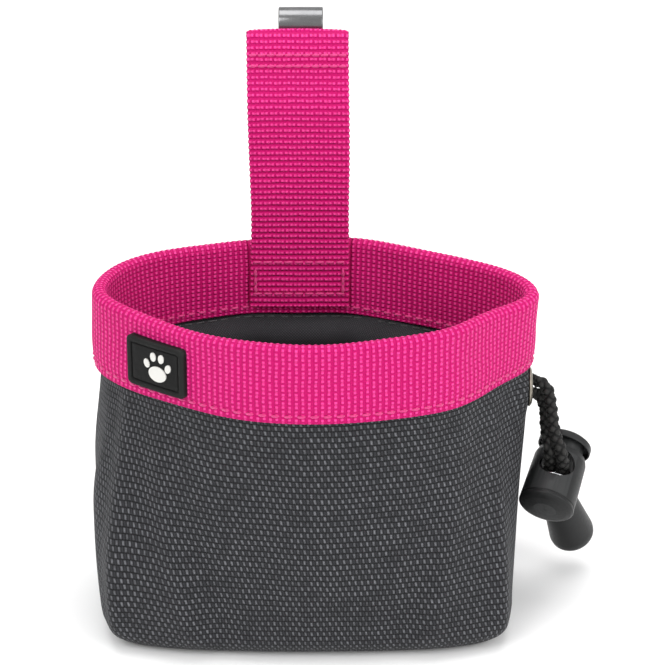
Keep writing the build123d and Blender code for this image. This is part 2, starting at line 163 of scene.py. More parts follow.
def rim_at(s):
    """Rim middle line and outward normal at arc lengths."""
    t = np.interp(np.mod(s, RIM_LONG), RIM_S, np.linspace(0, len(RIM_LINE), 6001))
    p, d = closed_spline(RIM_LINE, t)
    return p, turned_right(d)


# ---- mesh helpers
def add_object(name, data):
    obj = bpy.data.objects.new(name, data)
    bpy.context.scene.collection.objects.link(obj)
    return obj


def make(name, verts, faces, uvs, sharp=None):
    mesh = bpy.data.meshes.new(name)
    mesh.from_pydata([tuple(v) for v in np.asarray(verts) * 0.001], [], faces)
    layer = mesh.uv_layers.new(name="UVMap")
    layer.data.foreach_set("uv", np.asarray(uvs, np.float32).ravel())
    mesh.shade_smooth()
    if sharp:
        mesh.set_sharp_from_angle(angle=math.radians(sharp))
    mesh.update()
    return add_object(name, mesh)


def grid(name, points, uv=None, wrap=False, loop_rows=False, caps=(False, False), sharp=None):
    """A mesh from rows and columns of points. uv has one more column than points when the columns wrap."""
    points = np.asarray(points, float)
    rows, cols = points.shape[:2]
    if uv is None:
        uv = np.zeros((rows, cols + 1, 2))
    if loop_rows:
        row_pairs = [(i, (i + 1) % rows) for i in range(rows)]
    else:
        row_pairs = [(i, i + 1) for i in range(rows - 1)]
    span = cols if wrap else cols - 1
    faces, loops = [], []
    uv_rows = uv.shape[0]
    for a, b in row_pairs:
        ub = a + 1 if a + 1 < uv_rows else b
        for j in range(span):
            k = (j + 1) % cols
            faces.append((a * cols + j, a * cols + k, b * cols + k, b * cols + j))
            loops += [uv[a, j], uv[a, j + 1], uv[ub, j + 1], uv[ub, j]]
    for wanted, row in zip(caps, (0, rows - 1)):
        if wanted:
            ring = [row * cols + j for j in range(cols)]
            faces.append(tuple(reversed(ring)) if row == 0 else tuple(ring))
            loops += [uv[row, j] for j in (range(cols - 1, -1, -1) if row == 0 else range(cols))]
    return make(name, points.reshape(-1, 3), faces, loops, sharp)


def frames_along(path):
    """Two cross directions carried along a path without twist."""
    path = np.asarray(path, float)
    d = directions(path)
    side = np.cross(d[0], [0.0, 0.0, 1.0])
    if np.linalg.norm(side) < 0.1:
        side = np.cross(d[0], [0.0, 1.0, 0.0])
    sides = [unit(side)]
    for i in range(1, len(path)):
        s = sides[-1] - d[i] * np.dot(sides[-1], d[i])
        sides.append(unit(s))
    sides = np.array(sides)
    return sides, np.cross(d, sides)


def resample(path, step):
    path = np.asarray(path, float)
    s = run_along(path)
    n = max(8, int(round(s[-1] / step)))
    want = np.linspace(0, s[-1], n + 1)
    return np.stack([np.interp(want, s, path[:, k]) for k in range(3)], 1), want


def tube(name, path, radius, around=24, step=0.3, relief=None):
    """A tube along a path. relief(angle, length) gives its surface height over the radius."""
    path, along = resample(path, step)
    a, b = frames_along(path)
    angle = np.linspace(0, 2 * math.pi, around + 1)
    r = np.full((len(path), around), float(radius))
    if relief is not None:
        r = r + relief(angle[None, :-1], along[:, None])
    c, s = np.cos(angle[:-1]), np.sin(angle[:-1])
    pts = path[:, None] + (a[:, None] * c[None, :, None] + b[:, None] * s[None, :, None]) * r[..., None]
    return grid(name, pts, sheet_uv(angle * radius, along), wrap=True, caps=(True, True))


def lathe(name, profile, origin, axis, segments=96, sharp=35, closed=False):
    """A turned piece from (radius, height) points."""
    axis = unit(axis)
    side = unit(np.cross(axis, [0.3, 0.1, 1.0]) if abs(axis[2]) < 0.9 else np.cross(axis, [1.0, 0, 0]))
    other = np.cross(axis, side)
    angle = np.linspace(0, 2 * math.pi, segments + 1)
    c, s = np.cos(angle[:-1]), np.sin(angle[:-1])
    rows = []
    for r, h in profile:
        rows.append(origin + axis * h + (side * c[:, None] + other * s[:, None]) * max(r, 0.001))
    widest = max(r for r, h in profile)
    uv = sheet_uv(angle * max(widest, 1.0), run_along(np.array(profile)))
    caps = (not closed, not closed)
    return grid(name, np.array(rows), uv, wrap=True, loop_rows=closed, caps=caps, sharp=sharp)


def rounded(profile, radius=0.35, steps=4):
    """A (radius, height) profile with its corners rounded."""
    p = [np.array(q, float) for q in profile]
    out = [tuple(p[0])]
    for a, b, c in zip(p, p[1:], p[2:]):
        r = min(radius, 0.45 * np.linalg.norm(b - a), 0.45 * np.linalg.norm(c - b))
        start, end = b + unit(a - b) * r, b + unit(c - b) * r
        for k in range(steps + 1):
            t = k / steps
            out.append(tuple((1 - t) ** 2 * start + 2 * t * (1 - t) * b + t * t * end))
    out.append(tuple(p[-1]))
    return out


def apply_modifiers(obj):
    bpy.context.view_layer.update()
    done = obj.evaluated_get(bpy.context.evaluated_depsgraph_get())
    mesh = bpy.data.meshes.new_from_object(done)
    obj.modifiers.clear()
    obj.data = mesh


def cut_slot(obj, centre, x_dir, y_dir, long, short, reach=10.0):
    """Cuts a slot with round ends through obj."""
    z_dir = np.cross(x_dir, y_dir)
    ring = []
    flat = (long - short) / 2
    for k in range(48):
        ang = 2 * math.pi * (k + 0.5) / 48
        x = math.cos(ang) * short / 2 + (flat if math.cos(ang) > 0 else -flat)
        ring.append((x, math.sin(ang) * short / 2))
    rows = [[centre + x_dir * x + y_dir * y + z_dir * h for x, y in ring] for h in (-reach, reach)]
    cutter = grid("slot_cutter", np.array(rows), wrap=True, caps=(True, True))
    mod = obj.modifiers.new("cut", "BOOLEAN")
    mod.object = cutter
    mod.solver = "EXACT"
    apply_modifiers(obj)
    bpy.data.objects.remove(cutter)


def soften(obj, width, angle=32, segments=3):
    """Rounds an object's edges."""
    mod = obj.modifiers.new("soft", "BEVEL")
    mod.width = width * 0.001
    mod.segments = segments
    mod.limit_method = "ANGLE"
    mod.angle_limit = math.radians(angle)
    mod.use_clamp_overlap = True
    apply_modifiers(obj)
    obj.data.shade_smooth()
    obj.data.set_sharp_from_angle(angle=math.radians(40))


def stitch_row(name, places, along, normals, long, thick):
    """A row of separate stitches, each a short bowed thread."""
    verts, faces, uvs = [], [], []
    around, steps = 8, 7
    for p, d, n in zip(places, along, normals):
        side = np.cross(d, n)
        start = len(verts)
        for i in range(steps):
            t = i / (steps - 1) * 2 - 1
            bow = (1 - t * t) ** 0.5 * thick * 0.9
            r = thick * (0.35 + 0.65 * (1 - t**4))
            for k in range(around):
                ang = 2 * math.pi * k / around
                up = bow - thick * 0.4 + math.sin(ang) * r
                verts.append(p + d * (t * long / 2) + n * up + side * math.cos(ang) * r)
        for i in range(steps - 1):
            for k in range(around):
                q = (k + 1) % around
                a = start + i * around
                faces.append((a + k, a + q, a + around + q, a + around + k))
                uvs += [(k / around, i), (q / around, i), (q / around, i + 1), (k / around, i + 1)]
    return make(name, np.array(verts), faces, np.array(uvs) * UV_SCALE)


# ---- material helpers
class Paint:
    """A node material under construction."""

    def __init__(self, name, rough=0.6, metal=0.0):
        self.mat = bpy.data.materials.new(name)
        self.mat.use_nodes = True
        self.tree = self.mat.node_tree
        self.bsdf = self.tree.nodes["Principled BSDF"]
        self.bsdf.inputs["Roughness"].default_value = rough
        self.bsdf.inputs["Metallic"].default_value = metal

    def surface(self, **inputs):
        for key, value in inputs.items():
            self.bsdf.inputs[key.replace("_", " ")].default_value = value

    def link(self, value, socket):
        if isinstance(value, (int, float)):
            socket.default_value = value
        elif isinstance(value, tuple):
            socket.default_value = value if len(value) == len(socket.default_value) else (*value, 1.0)
        else:
            self.tree.links.new(value, socket)

    def node(self, kind, **inputs):
        n = self.tree.nodes.new(kind)
        for key, value in inputs.items():
            self.link(value, n.inputs[key.replace("_", " ")])
        return n

    def math(self, op, a, b=0.0, c=0.0, clamp=False):
        n = self.tree.nodes.new("ShaderNodeMath")
        n.operation = op
        n.use_clamp = clamp
        for value, socket in zip((a, b, c), n.inputs):
            self.link(value, socket)
        return n.outputs[0]

    def times(self, a, b, clamp=False):
        return self.math("MULTIPLY", a, b, clamp=clamp)

    def plus(self, a, b):
        return self.math("ADD", a, b)

    def between(self, x, low, high, to_low=0.0, to_high=1.0):
        n = self.tree.nodes.new("ShaderNodeMapRange")
        n.interpolation_type = "SMOOTHSTEP"
        for value, key in ((x, 0), (low, 1), (high, 2), (to_low, 3), (to_high, 4)):
            self.link(value, n.inputs[key])
        return n.outputs[0]

    def wave(self, x, pitch, shift=0.0):
        """0 to 1 and back once per pitch, 1 at whole pitches."""
        turn = self.math("MULTIPLY_ADD", x, 2 * math.pi / pitch, shift * 2 * math.pi)
        return self.math("MULTIPLY_ADD", self.math("COSINE", turn), 0.5, 0.5)

    def mix(self, share, a, b):
        n = self.tree.nodes.new("ShaderNodeMix")
        n.data_type = "RGBA"
        self.link(share, n.inputs[0])
        self.link(a, n.inputs[6])
        self.link(b, n.inputs[7])
        return n.outputs[2]

    def uv(self):
        n = self.tree.nodes.new("ShaderNodeUVMap")
        n.uv_map = "UVMap"
        s = self.tree.nodes.new("ShaderNodeSeparateXYZ")
        self.tree.links.new(n.outputs[0], s.inputs[0])
        return self.times(s.outputs[0], 1 / UV_SCALE), self.times(s.outputs[1], 1 / UV_SCALE)

    def place(self):
        return self.tree.nodes.new("ShaderNodeTexCoord").outputs["Object"]

    def noise(self, scale, detail=3.0, rough=0.6, where=None):
        n = self.node("ShaderNodeTexNoise", Scale=scale, Detail=detail, Roughness=rough)
        self.tree.links.new(where or self.place(), n.inputs["Vector"])
        return n.outputs[0]

    def bump(self, height, distance, strength=1.0):
        n = self.tree.nodes.new("ShaderNodeBump")
        n.inputs["Strength"].default_value = strength
        n.inputs["Distance"].default_value = distance
        self.tree.links.new(height, n.inputs["Height"])
        return n.outputs[0]

    def done(self, color=None, rough=None, normal=None):
        if color is not None:
            self.link(color, self.bsdf.inputs["Base Color"])
        if rough is not None:
            self.link(rough, self.bsdf.inputs["Roughness"])
        if normal is not None:
            self.tree.links.new(normal, self.bsdf.inputs["Normal"])
        return self.mat


RIB = 1.45
CORD_R = 1.5
BRAID_HALF = 3
BRAID_TURN = 2 * math.pi / 7.0
DOT = 1.1


def webbing(name):
    """Ribbed webbing with a painted highlight on its raised threads and painted shade in its grooves: the map runs
    along the webbing, then across it, in millimetres.
    """
    m = Paint(name, 0.6)
    along, across = m.uv()
    wobble = m.math("MULTIPLY_ADD", m.noise(260.0, 2.0), 0.5, -0.25)
    along = m.plus(along, wobble)
    across = m.plus(across, m.math("MULTIPLY_ADD", m.noise(330.0, 1.0), 0.3, -0.15))
    rib = m.wave(along, RIB)
    row = m.math("FLOOR", m.math("MULTIPLY_ADD", along, 1 / RIB, 0.5))
    odd = m.math("MODULO", m.math("ABSOLUTE", row), 2.0)
    dots = m.wave(across, DOT)
    bridge = m.wave(m.math("MULTIPLY_ADD", odd, DOT, across), 2 * DOT, 0.25)
    thread = m.times(m.between(dots, 0.25, 0.85), m.between(rib, 0.4, 0.92))
    link = m.times(m.between(bridge, 0.45, 0.95), m.between(rib, 0.5, 0.95))
    light = m.math("MAXIMUM", m.times(thread, 0.8), m.times(link, 0.5))
    fray = m.noise(1500.0, 3.0, 0.7)
    patch = m.noise(60.0, 2.0)
    light = m.times(light, m.between(fray, 0.2, 0.75, 0.55, 1.0), clamp=True)
    # Painted light on the weave: deep is the pink in shade, used in the grooves and for random darker patches; body
    # is the lit pink; the third colour is a painted highlight on the thread crests.
    deep, body, highlight_pink = (0.46, 0.0010, 0.110), (0.73, 0.0045, 0.190), (0.93, 0.085, 0.350)
    cell = m.times(m.between(rib, 0.0, 0.7), m.between(dots, -0.2, 0.6))
    base = m.mix(cell, deep, body)
    tint = m.mix(m.between(patch, 0.3, 0.7, 0.0, 0.22), base, deep)
    color = m.mix(light, tint, highlight_pink)
    height = m.plus(m.times(cell, 0.9), m.times(light, 0.5))
    height = m.plus(height, m.times(fray, 0.12))
    rough = m.between(fray, 0.2, 0.8, 0.5, 0.78)
    m.surface(Sheen_Weight=0.08, Sheen_Roughness=0.4, Sheen_Tint=(1.0, 0.45, 0.7, 1.0))
    m.surface(Specular_IOR_Level=0.16)
    return m.done(color, rough, m.bump(height, 0.00035, 0.9))


DASH = 1.55
DASH_ROW = 1.35


def body_cloth(name):
    """Charcoal cloth of coarse yarns, with a painted highlight as pale dashes on the yarns in staggered rows."""
    m = Paint(name, 0.65)
    u, v = m.uv()
    drift = m.math("MULTIPLY_ADD", m.noise(120.0, 2.0), 0.7, -0.35)
    u = m.plus(u, drift)
    v = m.plus(v, m.math("MULTIPLY_ADD", m.noise(150.0, 2.0), 0.5, -0.25))
    row = m.math("FLOOR", m.times(v, 1 / DASH_ROW))
    odd = m.math("MODULO", m.math("ABSOLUTE", row), 2.0)
    fv = m.math("FRACT", m.times(v, 1 / DASH_ROW))
    slant = m.math("MULTIPLY_ADD", fv, 0.16, m.times(odd, 0.5))
    fu = m.math("FRACT", m.math("MULTIPLY_ADD", u, 1 / DASH, slant))
    du = m.math("ABSOLUTE", m.math("SUBTRACT", fu, 0.5))
    dv = m.math("ABSOLUTE", m.math("SUBTRACT", fv, 0.5))
    yarn = m.times(m.between(du, 0.30, 0.07), m.between(dv, 0.5, 0.26))
    other = m.times(m.between(du, 0.24, 0.38), m.between(dv, 0.5, 0.34))
    fibre = m.noise(2600.0, 3.0, 0.7)
    patch = m.noise(420.0, 2.0)
    yarn_highlight = m.times(yarn, m.between(patch, 0.25, 0.7, 0.45, 1.0))
    yarn_highlight = m.times(yarn_highlight, m.between(fibre, 0.25, 0.7, 0.5, 1.0), clamp=True)
    # Painted light on the weave: pale highlights on the yarn crests, a mid tone on the other yarns and painted shade,
    # the darkest tone, between them.
    dark, mid, pale = (0.0035, 0.0036, 0.0042), (0.027, 0.0277, 0.0315), (0.165, 0.168, 0.182)
    color = m.mix(m.times(other, 0.85), dark, mid)
    color = m.mix(m.times(m.between(fibre, 0.35, 0.8), 0.35), color, mid)
    color = m.mix(yarn_highlight, color, pale)
    height = m.plus(yarn, m.times(other, 0.55))
    height = m.plus(height, m.times(fibre, 0.18))
    m.surface(Sheen_Weight=0.04, Sheen_Roughness=0.5, Specular_IOR_Level=0.16)
    return m.done(color, m.between(fibre, 0.2, 0.8, 0.5, 0.8), m.bump(height, 0.00036, 1.0))


def plain_cloth(name, low, high, pitch=0.7):
    """Fine plain weave."""
    m = Paint(name, 0.8)
    u, v = m.uv()
    a, b = m.wave(u, pitch), m.wave(v, pitch)
    over = m.math("ABSOLUTE", m.math("SUBTRACT", a, b))
    fibre = m.noise(1800.0, 3.0, 0.7)
    share = m.times(over, m.between(fibre, 0.2, 0.8, 0.4, 1.0), clamp=True)
    color = m.mix(share, low, high)
    color = m.mix(m.between(m.noise(40.0, 2.0), 0.3, 0.7, 0.0, 0.35), color, low)
    m.surface(Specular_IOR_Level=0.15)
    height = m.plus(over, m.times(fibre, 0.3))
    return m.done(color, m.between(fibre, 0.2, 0.8, 0.6, 0.9), m.bump(height, 0.00018, 0.8))


def yarn_cord(name):
    """Braided black cord with a painted highlight on the crests of the braid and painted shade, near black, in the
    gaps between.
    """
    m = Paint(name, 0.6)
    u, v = m.uv()
    fibre = m.noise(2200.0, 4.0, 0.75)
    turn, climb = m.times(u, BRAID_HALF / CORD_R), m.times(v, BRAID_HALF * BRAID_TURN)
    lift = m.math("ABSOLUTE", m.plus(m.math("COSINE", turn), m.math("COSINE", climb)))
    # Painted highlight on the braid's crests and painted shade in the gaps between them.
    crest_highlight = m.times(m.between(lift, 0.15, 1.5), m.between(fibre, 0.25, 0.75, 0.45, 1.0))
    color = m.mix(crest_highlight, (0.0010, 0.0010, 0.0010), (0.026, 0.0255, 0.024))
    m.surface(Sheen_Weight=0.04, Specular_IOR_Level=0.22)
    return m.done(color, m.between(fibre, 0.2, 0.8, 0.45, 0.7), m.bump(fibre, 0.0001, 0.7))


def moulded(name, base, pale, rough_low=0.34, rough_high=0.52, grain=1600.0, dust=0.25, shine=0.27):
    """Moulded plastic or rubber with a fine grain and a painted highlight on its convex edges."""
    m = Paint(name, 0.45)
    fine = m.noise(grain, 4.0, 0.6)
    broad = m.noise(90.0, 3.0)
    # Pointiness picks out the convex edges, which are painted lighter as a painted highlight on the rounded edges.
    edge = m.tree.nodes.new("ShaderNodeNewGeometry").outputs["Pointiness"]
    edge_highlight = m.between(edge, 0.505, 0.56)
    color = m.mix(m.between(broad, 0.3, 0.75, 0.0, dust), base, pale)
    color = m.mix(m.times(edge_highlight, 0.55), color, pale)
    m.surface(Specular_IOR_Level=shine)
    blotch = m.plus(m.times(fine, 0.6), m.times(broad, 0.4))
    return m.done(color, m.between(blotch, 0.3, 0.7, rough_low, rough_high), m.bump(fine, 0.00004, 0.5))


def metal(name, base, dark, rough_low, rough_high, streak=(1.0, 1.0, 1.0)):
    """Metal with fine streaks and a little tarnish."""
    m = Paint(name, 0.3, 1.0)
    stretch = m.node("ShaderNodeMapping", Scale=streak)
    m.tree.links.new(m.place(), stretch.inputs["Vector"])
    lines = m.noise(900.0, 4.0, 0.7, stretch.outputs[0])
    stain = m.noise(160.0, 4.0, 0.6)
    color = m.mix(m.between(stain, 0.35, 0.75, 0.0, 0.35), base, dark)
    blotch = m.plus(m.times(lines, 0.6), m.times(stain, 0.4))
    return m.done(color, m.between(blotch, 0.3, 0.7, rough_low, rough_high), m.bump(lines, 0.00002, 0.4))


def thread(name, low, high):
    m = Paint(name, 0.5)
    u, v = m.uv()
    twist = m.wave(m.plus(m.times(u, 3.0), v), 0.5)
    fibre = m.noise(3000.0, 2.0)
    color = m.mix(m.times(twist, fibre), low, high)
    m.surface(Sheen_Weight=0.3)
    return m.done(color, m.between(fibre, 0.2, 0.8, 0.4, 0.65), m.bump(twist, 0.0001, 0.6))


PINK = webbing("pink_webbing_cloth")
GREY = body_cloth("charcoal_cloth")
LINING = plain_cloth("lining_cloth", (0.018, 0.018, 0.02), (0.075, 0.076, 0.082))
TAPE = plain_cloth("binding_tape", (0.006, 0.006, 0.007), (0.04, 0.04, 0.043), 0.9)
CORD = yarn_cord("black_braid")
PLASTIC = moulded("black_plastic_moulded", (0.0070, 0.0074, 0.0076), (0.034, 0.0355, 0.036))
RUBBER = moulded(
    "label_rubber_moulded", (0.005, 0.005, 0.005), (0.022, 0.022, 0.021), 0.5, 0.7,
    grain=1200.0, dust=0.15, shine=0.15,
)
PRINT = moulded("emblem_off_white", (0.60, 0.59, 0.56), (0.70, 0.69, 0.66), 0.5, 0.7, 1400.0, 0.4)
STEEL = metal("clip_steel", (0.20, 0.20, 0.205), (0.09, 0.09, 0.095), 0.18, 0.32, (0.15, 1.0, 1.0))
NICKEL = metal("eyelet_nickel", (0.34, 0.31, 0.26), (0.10, 0.09, 0.07), 0.25, 0.45)
CHROME = metal("spring_wire", (0.86, 0.87, 0.9), (0.6, 0.6, 0.62), 0.08, 0.2)
PINK_THREAD = thread("pink_sewing_thread", (0.60, 0.004, 0.15), (0.96, 0.075, 0.38))
BLACK_THREAD = thread("black_sewing_thread", (0.005, 0.005, 0.005), (0.08, 0.08, 0.085))


def finish_piece(obj, material, body, slot, *nodes, riding=True):
    obj.data.materials.clear()
    obj.data.materials.append(material)
    if riding:
        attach(obj, body)
    if nodes:
        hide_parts(*nodes)


# ---- cord route, as in the part's source
lock_centre = MOUTH + (59.0, -1.5, 31.6)
lock_axis = unit((0.306, 0.77, 0.56))
hole_axis = np.array([0.035, 0.589, -0.807])
hole_axis = unit(hole_axis - lock_axis * hole_axis.dot(lock_axis))
across_axis = np.cross(lock_axis, hole_axis)
strand_side = -across_axis
bell_axis = unit((0.3, 0.386, -0.872))
HOLE_UP = 10.6
CORD_SIDE = 1.66
STRAIGHT_IN, STRAIGHT_OUT = 8.6, 7.6
bell_top = lock_centre + hole_axis * STRAIGHT_OUT + bell_axis * 1.2
PAIR_ROUTE = [(52.7, 0.0, 54.6), (55.0, -0.2, 54.3), (56.6, -1.0, 49.4), (56.9, -3.2, 44.0)]
PAIR_SPREAD = [(0, 0, CORD_SIDE), (1.1, -0.55, 1.45), (0.62, -1.75, 0.3), (0.95, -1.5, 0)]
lock_foot = lock_centre - lock_axis * HOLE_UP


def strand_route(side):
    route = [MOUTH + p + np.array(w) * side for p, w in zip(PAIR_ROUTE, PAIR_SPREAD)]
    route.append(lock_centre - hole_axis * STRAIGHT_IN + strand_side * (side * CORD_SIDE))
    route.append(lock_centre + hole_axis * STRAIGHT_OUT + strand_side * (side * CORD_SIDE))
    route.append(bell_top + bell_axis * 5 + strand_side * (side * CORD_SIDE))
    return route


def nurbs_line(points):
    """Points along the cord's own line, in millimetres."""
    curve = bpy.data.curves.new("route", "CURVE")
    curve.dimensions = "3D"
    spline = curve.splines.new("NURBS")
    spline.points.add(len(points) - 1)
    for q, p in zip(spline.points, points):
        q.co = (*(p * 0.001), 1.0)
    spline.order_u = 3
    spline.use_endpoint_u = True
    spline.resolution_u = 24
    holder = add_object("route", curve)
    bpy.context.view_layer.update()
    mesh = bpy.data.meshes.new_from_object(holder)
    line = np.array([v.co for v in mesh.vertices], float) * 1000
    bpy.data.objects.remove(holder)
    return line


def braid(angle, along):
    """Six carriers crossing over and under round a cord."""
    turn, climb = BRAID_HALF * angle, BRAID_HALF * BRAID_TURN * along
    return 0.5 * (np.abs(np.cos(turn) + np.cos(climb)) / 2) ** 0.6 - 0.4


def strand_relief(angle, along):
    """The braid, drawn in where the strand leaves the eyelet so that it clears the wall when it swings."""
    return braid(angle, along) - 0.85 * (1 - smooth(0.0, 1.1, along)) ** 2


cords = {}
for side, name, long in ((1, "cord_strand_outer", 0.0440), (-1, "cord_strand_inner", 0.0392)):
    line = nurbs_line(strand_route(side))
    piece = tube(f"braided_{name}", line, CORD_R, around=40, step=0.14, relief=strand_relief)
    finish_piece(piece, CORD, "drawstring", "black_cord", name)
    path, _ = resample(line, 0.5)
    cords[name] = (piece, path, long)

# ---- camera, light and floor
camera = add_object("camera", bpy.data.cameras.new("camera"))
camera.data.lens = 135.77
camera.data.sensor_width = 36.0
camera.data.clip_end = 20.0
camera.location = (np.array([3.95, -556.4, 304.9]) + MOUTH) * 0.001
camera.rotation_euler = (math.radians(67.0), 0, 0)
bpy.context.scene.camera = camera

world = bpy.data.worlds.new("studio")
world.use_nodes = True
world.node_tree.nodes["Background"].inputs[0].default_value = (1.0, 1.0, 1.0, 1.0)
world.node_tree.nodes["Background"].inputs[1].default_value = 0.85
bpy.context.scene.world = world
bpy.context.scene.view_settings.view_transform = "Standard"


def softbox(name, place, aim, size, watts):
    light = bpy.data.lights.new(name, "AREA")
    light.shape = "RECTANGLE"
    light.size, light.size_y = size
    light.energy = watts
    lamp = add_object(name, light)
    lamp.location = place
    lamp.rotation_euler = (Vector(aim) - Vector(place)).to_track_quat("-Z", "Y").to_euler()


softbox("key", (-0.55, -0.75, 0.85), (0, 0, 0.05), (0.6, 0.6), 5.0)
softbox("fill", (0.8, -0.6, 0.55), (0, 0, 0.05), (0.6, 0.6), 5.0)
softbox("top", (0.0, 0.15, 1.1), (0, 0, 0.05), (0.9, 0.7), 6.0)

floor_mesh = bpy.data.meshes.new("studio_floor")
floor_bm = bmesh.new()
profile = [(-3.0, 0.0), (1.2, 0.0)]
profile += [(1.2 + 0.8 * math.sin(a), 0.8 - 0.8 * math.cos(a)) for a in np.linspace(0.1, math.pi / 2, 12)]
profile += [(2.0, 3.0)]
rows = [[floor_bm.verts.new((x, y, z - 0.0002)) for x in (-3.0, 3.0)] for y, z in profile]
for a, b in zip(rows, rows[1:]):
    floor_bm.faces.new((a[0], a[1], b[1], b[0]))
floor_bm.to_mesh(floor_mesh)
floor_bm.free()
floor_mesh.shade_smooth()
floor = add_object("studio_floor", floor_mesh)
ground = Paint("studio_ground", 0.8)
floor.data.materials.append(ground.done((0.93, 0.93, 0.93)))

# ---- body shell
T = np.arange(0, len(RIM_LINE), 1 / PER_SPAN)
floor_p, floor_d = closed_spline(FLOOR_LINE, T)
rim_p, rim_d = closed_spline(RIM_LINE, T)
floor_n, rim_n = turned_right(floor_d), turned_right(rim_d)


def body_ring(z, inward):
    """The body's outline at a height, with its folds."""
    rise = float(np.clip((z - CURL_HIGH) / WALL_RUN, 0, 1))
    ease = rise * rise * (3 - 2 * rise)
    curl = CURL_DEEP * max(0.0, 1 - z / CURL_HIGH) ** 2
    p = floor_p + (rim_p - floor_p) * ease
    n = floor_n + (rim_n - floor_n) * ease
    n = n / np.linalg.norm(n, axis=1)[:, None]
    sideways = np.maximum(0, p[:, 0] / HALF_LONG)
    free = math.sin(math.pi * rise)
    full = BULGE * free * (1 - sideways**2) + FABRIC / 2 * ease
    fold = 1.5 * bump(T, 13.15, 0.16) - 1.2 * bump(T, 12.75, 0.22) - 0.8 * bump(T, 13.6, 0.3)
    fold += 1.3 * bump(T, 18.95, 0.16) - 0.9 * bump(T, 19.3, 0.25) - 0.6 * bump(T, 18.5, 0.35)
    fold += 0.55 * bump(T, 10.0, 0.2) + 0.5 * bump(T, 2.1, 0.2)
    fold += 1.1 * bump(T + 0.012 * z, 14.35, 0.2) - 1.0 * bump(T + 0.012 * z, 14.8, 0.3)
    fold += 0.9 * bump(T - 0.010 * z, 17.75, 0.2) - 0.8 * bump(T - 0.010 * z, 17.35, 0.3)
    folds = fold * (0.35 + 0.65 * (1 - ease)) * smooth(0, 9, z) * (1 - smooth(56, 61, z))
    wave = 0.55 * np.sin(1.9 * T + 0.07 * z) * np.sin(0.09 * z + 0.4) + 0.35 * np.sin(3.7 * T - 0.05 * z)
    wave += 0.8 * bump(T - 0.02 * (z - 30), 12.1, 0.35) * bump(z, 30, 16)
    wave -= 0.7 * bump(T + 0.015 * z, 15.9, 0.8) * bump(z, 22, 15)
    waves = wave * free * (1 - 0.8 * np.clip(sideways, 0, 1))
    reach = full - curl - inward + folds + waves
    ring = p + n * reach[:, None]
    # The wall lies flat under the eyelet.
    seat = (1 - smooth(4.2, 7.6, np.hypot(ring[:, 1], z - EYELET_Z))) * (ring[:, 0] > 0)
    ring[:, 0] += seat * np.maximum(0, WALL_SEAT_X - inward - ring[:, 0])
    return ring


def ring_points(z, inward):
    ring = body_ring(z, inward)
    return np.column_stack([ring[:, 0], ring[:, 1], np.full(len(ring), z)]) + MOUTH


def bottom_rings(ring, centre, z_edge, z_mid, count):
    """Rings closing a flat bottom from its edge to its middle."""
    rows = []
    for k in range(1, count + 1):
        share = (k / count) ** 0.9
        flat = ring[:, :2] + (np.array(centre) - ring[:, :2]) * min(share, 0.995)
        z = z_edge + (z_mid - z_edge) * smooth(0, 0.25, share)
        rows.append(np.column_stack([flat, np.full(len(ring), z)]))
    return rows


CURL_Z = [0.0, 0.15, 0.5, 1.0, 1.7, 2.5, 3.5, 4.6]
HIDDEN_Z = [64.0, 70.0, WALL_TOP]
INNER_FLOOR = 1.2
BOTTOM_RINGS = 16
wall_z = np.concatenate([CURL_Z, np.arange(CURL_HIGH, RIM_BOTTOM + 0.5, 0.9), HIDDEN_Z])
inner_z = wall_z[wall_z >= INNER_FLOOR]
bottom_mid = (MOUTH[0] - 2.0, MOUTH[1] - 11.0)
mid_ring = body_ring(30.0, 0.0)
u_line = np.concatenate([[0], np.cumsum(np.linalg.norm(np.roll(mid_ring, -1, 0) - mid_ring, axis=1))])
front_col = int(np.argmin(np.hypot(mid_ring[:, 0] - MOUTH[0], mid_ring[:, 1] + 36)))
u_line = u_line - u_line[front_col]
outer_rows = [ring_points(z, 0.0) for z in wall_z]
bottom = bottom_rings(outer_rows[0], bottom_mid, 0.0, 0.05, BOTTOM_RINGS)
rows = list(reversed(bottom)) + outer_rows
n_bottom = len(bottom)
pts = np.array(rows)
v_run = run_along(pts[:, front_col])
uv = sheet_uv(u_line, v_run - v_run[n_bottom])
closed = np.concatenate([pts, pts[:, :1]], 1)
flat_uv = np.stack([closed[:, :, 0], -(closed[:, :, 1] - closed[n_bottom, front_col, 1])], -1)
uv[:n_bottom] = flat_uv[:n_bottom] * UV_SCALE
shell = grid("fabric_body", pts, uv, wrap=True, caps=(True, False))
finish_piece(shell, GREY, "pouch", "grey_fabric", "outer_shell")

inner_rows = [ring_points(z, FABRIC) for z in inner_z]
inner_bottom = bottom_rings(inner_rows[0], bottom_mid, INNER_FLOOR, INNER_FLOOR + 0.05, BOTTOM_RINGS)
ipts = np.array(list(reversed(inner_bottom)) + inner_rows)[:, ::-1]
iuv = sheet_uv(u_line[::-1], np.concatenate([-np.arange(BOTTOM_RINGS, 0, -1) * 2.0, inner_z]))
lining = grid("fabric_lining", ipts, iuv, wrap=True, caps=(True, False))
finish_piece(lining, LINING, "pouch", "grey_fabric")

# ---- rim band
per_rib = 6
ribs = int(round(RIM_LONG / RIB))
band_s = np.arange(ribs * per_rib) * RIM_LONG / (ribs * per_rib)
rib_p, rib_n = rim_at(band_s)
near_strap = bump(rib_p[:, 0], -4.4, 16.0) * smooth(10, 30, rib_p[:, 1])
top_wave = 0.35 * np.sin(band_s / 17.0) + 0.2 * np.sin(band_s / 7.3 + 1.0) + 0.6 * near_strap
rib_high = 0.5 + 0.5 * np.cos(2 * math.pi * band_s / (RIM_LONG / ribs))


def rim_wave(along, height):
    """How far the band waves in and out at a height."""
    return (0.25 * np.sin(along / 11.0 + height * 0.12) + 0.15 * np.sin(along / 4.7 - height * 0.2)) * 0.8


